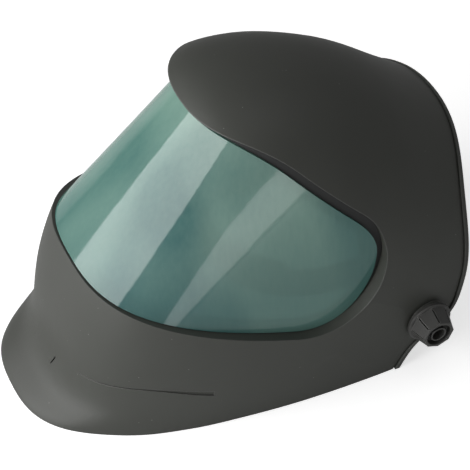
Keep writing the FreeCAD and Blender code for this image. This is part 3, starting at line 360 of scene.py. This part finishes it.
def buildCloth(name):
    values = cloths[name]
    material, shaders, links = newMaterial(name)
    tree = material.node_tree
    surface = shaders["Principled BSDF"]
    surface.inputs["Roughness"].default_value = values["rough"]
    surface.inputs["Sheen Weight"].default_value = values["sheen"]
    surface.inputs["Sheen Roughness"].default_value = 0.5
    place = shaders.new("ShaderNodeTexCoord").outputs["Object"]
    weave = placeGroup(tree, weaveGroup, {"Pitch": values["pitch"], "Centre Y": values["centre"],
                                          "Radius": values["radius"]}, place)
    grain = placeGroup(tree, grainGroup, {"Scale": 1400.0, "Depth": 0.5}, place)
    tone = mathNode(tree, "MULTIPLY_ADD", grain.outputs["Cloud"], 0.5,
                    mathNode(tree, "MULTIPLY", weave.outputs["Thread"], 0.6))
    links.new(mixColour(tree, tone, values["colour"], values["lighter"]), surface.inputs["Base Color"])
    height = mathNode(tree, "MULTIPLY_ADD", weave.outputs["Height"], 0.8, grain.outputs["Height"])
    bumpSurface(tree, surface, height, None, 0.6, 0.0003)
    return material


for name in cloths:
    materials[name] = buildCloth(name)


def applyAll(piece):
    for modifier in list(piece.modifiers):
        bpy.ops.object.modifier_apply(modifier=modifier.name)


def startPad(source, name, values):
    # copy of a CAD pad, merged, drawn in a little and remeshed, ready to swell
    bpy.ops.object.select_all(action="DESELECT")
    piece = bpy.data.objects.new(name, nodes[source].data.copy())
    bpy.context.scene.collection.objects.link(piece)
    piece.select_set(True)
    bpy.context.view_layer.objects.active = piece
    bpy.ops.object.mode_set(mode="EDIT")
    bpy.ops.mesh.select_all(action="SELECT")
    bpy.ops.mesh.remove_doubles(threshold=0.00001)
    bpy.ops.mesh.normals_make_consistent(inside=False)
    bpy.ops.object.mode_set(mode="OBJECT")
    remesh = piece.modifiers.new("even", "REMESH")
    remesh.mode = "VOXEL"
    remesh.voxel_size = values["voxel"]
    applyAll(piece)
    smooth = piece.modifiers.new("softCorners", "SMOOTH")
    smooth.factor, smooth.iterations = 0.5, values["rounding"]
    draw = piece.modifiers.new("drawIn", "DISPLACE")
    draw.strength, draw.mid_level = -values["drawIn"], 0
    applyAll(piece)
    return piece


def swell(piece, values):
    # air pressure from inside fills the cover, and no point moves further than the cap
    before = [v.co.copy() for v in piece.data.vertices]
    cloth = piece.modifiers.new("cover", "CLOTH")
    cloth.settings.quality = 4                               # steps a frame
    cloth.settings.mass = 0.15                               # kilograms a vertex
    cloth.settings.use_pressure = True
    cloth.settings.uniform_pressure_force = values["pressure"]
    cloth.settings.effector_weights.gravity = 0
    cloth.point_cache.frame_start, cloth.point_cache.frame_end = 1, 20
    for step in range(1, 21):
        bpy.context.scene.frame_set(step)
    applyAll(piece)
    bpy.context.scene.frame_set(1)
    for vertex, start in zip(piece.data.vertices, before):
        move = vertex.co - start
        if move.length > values["cap"]:
            vertex.co = start + move.normalized() * values["cap"]


def pressSeams(piece, values):
    # pull the cover in along its sewn lines, and rest its outer face on the ring it is held by
    centre = Vector((0, values["centre"], 0))
    lines = [values["low"] + values["margin"], values["high"] - values["margin"]]
    ends = [math.radians(a) for a in values["endSeams"]]
    middle = (values["inner"] + values["outer"]) / 2
    for vertex in piece.data.vertices:
        flat = Vector((vertex.co.x, vertex.co.y, 0)) - centre
        radius = flat.length
        angle = math.atan2(flat.y, flat.x) % (2 * math.pi)
        pull = max(math.exp(-((vertex.co.z - z) / values["seamWidth"]) ** 2) for z in lines)
        for end in ends:
            pull = max(pull, math.exp(-((angle - end) * middle / values["seamWidth"]) ** 2))
        if radius < middle:
            radius += pull * values["seamDepth"]
        radius = min(max(radius, values["inner"] - values["crown"]), values["outer"])
        spot = centre + flat.normalized() * radius
        vertex.co = (spot.x, spot.y, min(max(vertex.co.z, values["low"]), values["high"]))


def finishPad(piece):
    smooth = piece.modifiers.new("finer", "SUBSURF")
    smooth.levels = smooth.render_levels = 1
    applyAll(piece)
    bpy.ops.object.shade_smooth()


def sewStitches(piece, name, values):
    # short thread stitches that lie in the pad's sewn lines, copied from one
    bpy.ops.object.select_all(action="DESELECT")
    bpy.ops.mesh.primitive_cylinder_add(vertices=6, radius=values["thread"], depth=values["stitch"])
    first = bpy.context.object
    bpy.ops.object.mode_set(mode="EDIT")
    bpy.ops.mesh.select_all(action="SELECT")
    bpy.ops.mesh.bevel(offset=values["thread"] * 0.6, segments=1)
    bpy.ops.object.mode_set(mode="OBJECT")
    pattern = first.data.copy()
    bpy.data.objects.remove(first)
    centre = Vector((0, values["centre"], 0))
    copies = []
    first, last = (math.radians(a) for a in values["endSeams"])
    count = int((last - first) * values["inner"] / (values["stitch"] * 1.5))
    for z in (values["low"] + values["margin"], values["high"] - values["margin"]):
        for index in range(count + 1):
            angle = first + (last - first) * index / count
            way = Vector((math.cos(angle), math.sin(angle), 0))
            hit, spot, normal, _ = piece.ray_cast(centre + Vector((0, 0, z)), way)
            if not hit:
                continue
            along = Vector((-way.y, way.x, 0))
            turn = Matrix((normal, normal.cross(along), along)).transposed().to_4x4()
            mesh = pattern.copy()
            mesh.transform(Matrix.Translation(spot + normal * values["thread"] * 0.3) @ turn)
            stitch = bpy.data.objects.new(name, mesh)
            bpy.context.scene.collection.objects.link(stitch)
            copies.append(stitch)
    bpy.ops.object.select_all(action="DESELECT")
    for stitch in copies:
        stitch.select_set(True)
    bpy.context.view_layer.objects.active = copies[0]
    bpy.ops.object.join()
    copies[0].name = name
    bpy.ops.object.shade_smooth()
    return copies[0]


pads = {
    "sweatband": dict(
        body="headgear", cover="bandCotton", centre=0.062, inner=0.0667, outer=0.0736, low=0.0681,
        high=0.1019, margin=0.0045, endSeams=(213, 327), seamWidth=0.0011, seamDepth=0.0022,
        crown=0.0010, voxel=0.0017, rounding=5, drawIn=0.0004, pressure=4, cap=0.0012,
        thread=0.0003, stitch=0.0022),
    "rear_pad": dict(
        body="rear_unit", cover="padCotton", centre=0.088, inner=0.0640, outer=0.0699, low=0.0691,
        high=0.0989, margin=0.0042, endSeams=(69, 111), seamWidth=0.0011, seamDepth=0.0018,
        crown=0.0008, voxel=0.0015, rounding=5, drawIn=0.0004, pressure=4, cap=0.0010,
        thread=0.0003, stitch=0.0022),
}
padNames = {"sweatband": "sweatCover", "rear_pad": "rearCover"}
for source, values in pads.items():
    pad = startPad(source, padNames[source], values)
    swell(pad, values)
    pressSeams(pad, values)
    finishPad(pad)
    giveMaterial(pad, materials[values["cover"]])
    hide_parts(source)
    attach(pad, values["body"])
    stitches = sewStitches(pad, padNames[source] + "Stitches", values)
    giveMaterial(stitches, materials["seamThread"])
    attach(stitches, values["body"])
    print(source, "cover made:", len(pad.data.polygons), "faces,", len(stitches.data.polygons), "in stitches")


# camera, lights and floor
cameraValues = dict(azimuth=65.12, height=44.32, roll=-0.4, distance=1.5, lens=150.05,
                    centre=(0, 0.002, 0.140), aimRight=0.0087, aimDown=0.0376)


def buildCamera():
    values = cameraValues
    a, e, r = (math.radians(values[k]) for k in ("azimuth", "height", "roll"))
    back = Vector((math.sin(a) * math.cos(e), -math.cos(a) * math.cos(e), math.sin(e)))
    right = Vector((math.cos(a), math.sin(a), 0))
    up = back.cross(right)
    right, up = right * math.cos(r) + up * math.sin(r), up * math.cos(r) - right * math.sin(r)
    centre = Vector(values["centre"])
    place = centre + back * values["distance"]
    back = (place - centre - right * values["aimRight"] + up * values["aimDown"]).normalized()
    right = (right - back * right.dot(back)).normalized()
    up = back.cross(right)
    camera = bpy.data.objects.new("camera", bpy.data.cameras.new("camera"))
    camera.data.lens = values["lens"]
    camera.data.sensor_width = 36
    turn = Matrix((right, up, back)).transposed().to_4x4()
    camera.matrix_world = Matrix.Translation(place) @ turn
    bpy.context.scene.collection.objects.link(camera)
    bpy.context.scene.camera = camera


def addSoftbox(name, values):
    lamp = bpy.data.lights.new(name, "AREA")
    lamp.shape = "RECTANGLE"
    lamp.size, lamp.size_y, lamp.energy = values["width"], values["height"], values["power"]
    box = bpy.data.objects.new(name, lamp)
    box.location = values["place"]
    way = Vector(values["aim"]) - Vector(values["place"])
    box.rotation_euler = way.to_track_quat("-Z", "Y").to_euler()
    bpy.context.scene.collection.objects.link(box)


def buildStage():
    bpy.ops.object.select_all(action="DESELECT")
    bpy.ops.mesh.primitive_plane_add(size=12, location=(0, 0, 0))
    floor = bpy.context.object
    floor.name = "floor"
    material, shaders, links = newMaterial("paleFloor")
    surface = shaders["Principled BSDF"]
    surface.inputs["Base Color"].default_value = (0.85, 0.85, 0.85, 1)
    surface.inputs["Roughness"].default_value = 0.9
    surface.inputs["Specular IOR Level"].default_value = 0.1
    surface.inputs["Emission Color"].default_value = (1, 1, 1, 1)
    path = shaders.new("ShaderNodeLightPath")
    seen = mathNode(material.node_tree, "MAXIMUM", path.outputs["Is Camera Ray"],
                    path.outputs["Is Transmission Ray"])
    links.new(mathNode(material.node_tree, "MULTIPLY", seen, 0.62), surface.inputs["Emission Strength"])
    giveMaterial(floor, material)


worldValues = dict(glossy=0.30, other=0.17)


def buildWorld():
    values = worldValues
    world = bpy.data.worlds.new("studio")
    world.use_nodes = True
    bpy.context.scene.world = world
    tree = world.node_tree
    back = tree.nodes["Background"]
    back.inputs["Color"].default_value = (1, 1, 1, 1)
    path = tree.nodes.new("ShaderNodeLightPath")
    seen = mathNode(tree, "MAXIMUM", path.outputs["Is Camera Ray"], path.outputs["Is Transmission Ray"])
    glossy = mathNode(tree, "MULTIPLY", path.outputs["Is Glossy Ray"], values["glossy"])
    seen = mathNode(tree, "MAXIMUM", mathNode(tree, "MAXIMUM", seen, glossy), values["other"])
    tree.links.new(seen, back.inputs["Strength"])


softboxes = {
    "frontSoftbox": dict(place=(-0.22, -1.55, 0.95), aim=(0, 0, 0.12), width=2.0, height=1.2, power=34),
    "sideSoftbox": dict(place=(0.62, -1.42, 0.25), aim=(0, 0, 0.10), width=0.6, height=0.8, power=5.5),
    "lowSoftbox": dict(place=(1.50, -0.28, 0.22), aim=(0, 0, 0.12), width=0.75, height=0.36, power=1.7),
    "topSoftbox": dict(place=(0.2, 0.5, 1.8), aim=(0, 0, 0.1), width=1.0, height=1.0, power=1.8),
}
buildCamera()
for name, values in softboxes.items():
    addSoftbox(name, values)
buildStage()
buildWorld()
bpy.context.scene.view_settings.view_transform = "Standard"
print("camera, lights and floor ready")
